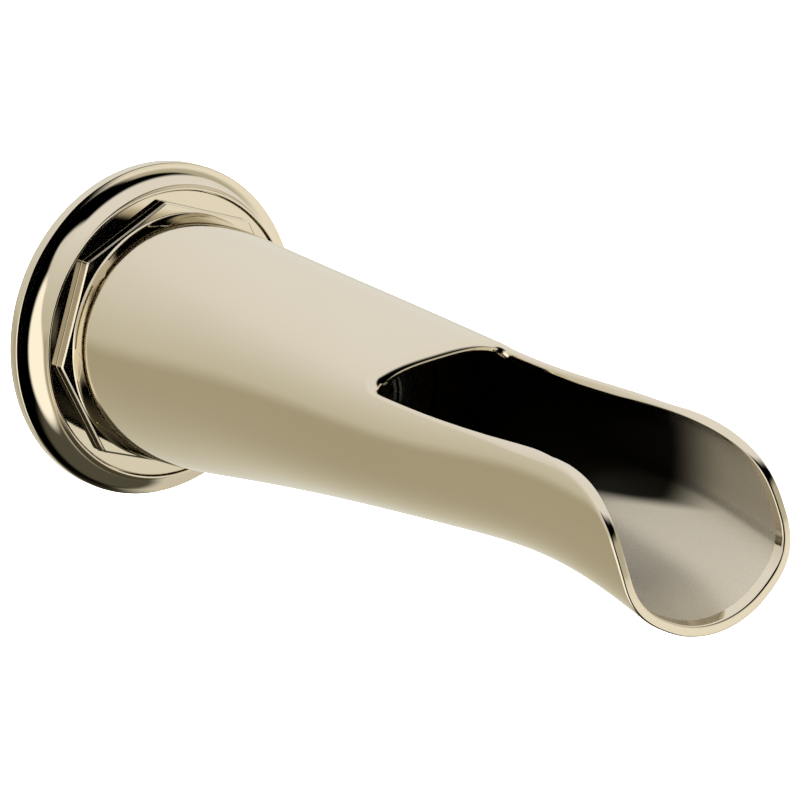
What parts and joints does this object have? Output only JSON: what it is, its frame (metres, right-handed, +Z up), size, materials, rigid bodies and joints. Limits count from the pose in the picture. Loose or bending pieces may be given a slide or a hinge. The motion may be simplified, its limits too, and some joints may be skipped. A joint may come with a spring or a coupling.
{
  "type": "wall mounted tub spout",
  "caption": "Wall mounted tub spout with a round flange, an octagonal collar and a flared body that opens into a channel with a scooped lip.",
  "frame": {"origin": "centre of the supply thread's mouth, in the plane of the finished wall", "axes": "-Y out of the wall along the spout, +Z up, the wall is the plane Y = 0"},
  "size_m": [0.076, 0.1836, 0.076],
  "materials": {
    "nickel": "polished warm nickel plating",
    "brass": "machined brass",
    "steel": "stainless steel",
    "rubber": "moulded seal rubber",
    "foam": "closed cell foam",
    "plastic": "black moulded acetal"
  },
  "bodies": {
    "wall_fitting": {"pipe_adapter": "brass", "adapter_guide_ring": "plastic", "adapter_o_ring_rear": "rubber", "adapter_o_ring_front": "rubber"},
    "spout": {"spout_body": "nickel", "inlet_socket": "brass", "wall_flange": "nickel", "octagon_collar": "nickel", "wall_gasket": "foam", "collar_o_ring": "rubber", "retaining_clip": "steel", "waterway_tube": "brass", "tube_o_ring_rear": "rubber", "tube_o_ring_front": "rubber", "channel_bulkhead": "brass", "bulkhead_seal": "rubber", "straightener_housing": "plastic", "straightener_screen_rear": "steel", "straightener_spacer": "plastic", "straightener_screen_front": "steel", "straightener_clip": "steel"},
    "screw_pad": {"set_screw_pad": "brass"},
    "screw": {"set_screw": "steel"}
  },
  "joints": [
    {"name": "spout_pull", "type": "slide", "parent": "wall_fitting", "child": "spout", "axis": [0, -1, 0], "range_m": [0, 0.05]},
    {"name": "pad_travel", "type": "slide", "parent": "spout", "child": "screw_pad", "axis": [0, 0, -1], "range_m": [0, 0.003]},
    {"name": "screw_turn", "type": "hinge", "parent": "screw_pad", "child": "screw", "pos_m": [0, -0.026, -0.018], "axis": [0, 0, -1], "range_deg": [0, 1080]}
  ],
  "couplings": [
    {"joint": "screw_turn", "follows": "pad_travel", "rad_per_m": 6283.2}
  ]
}
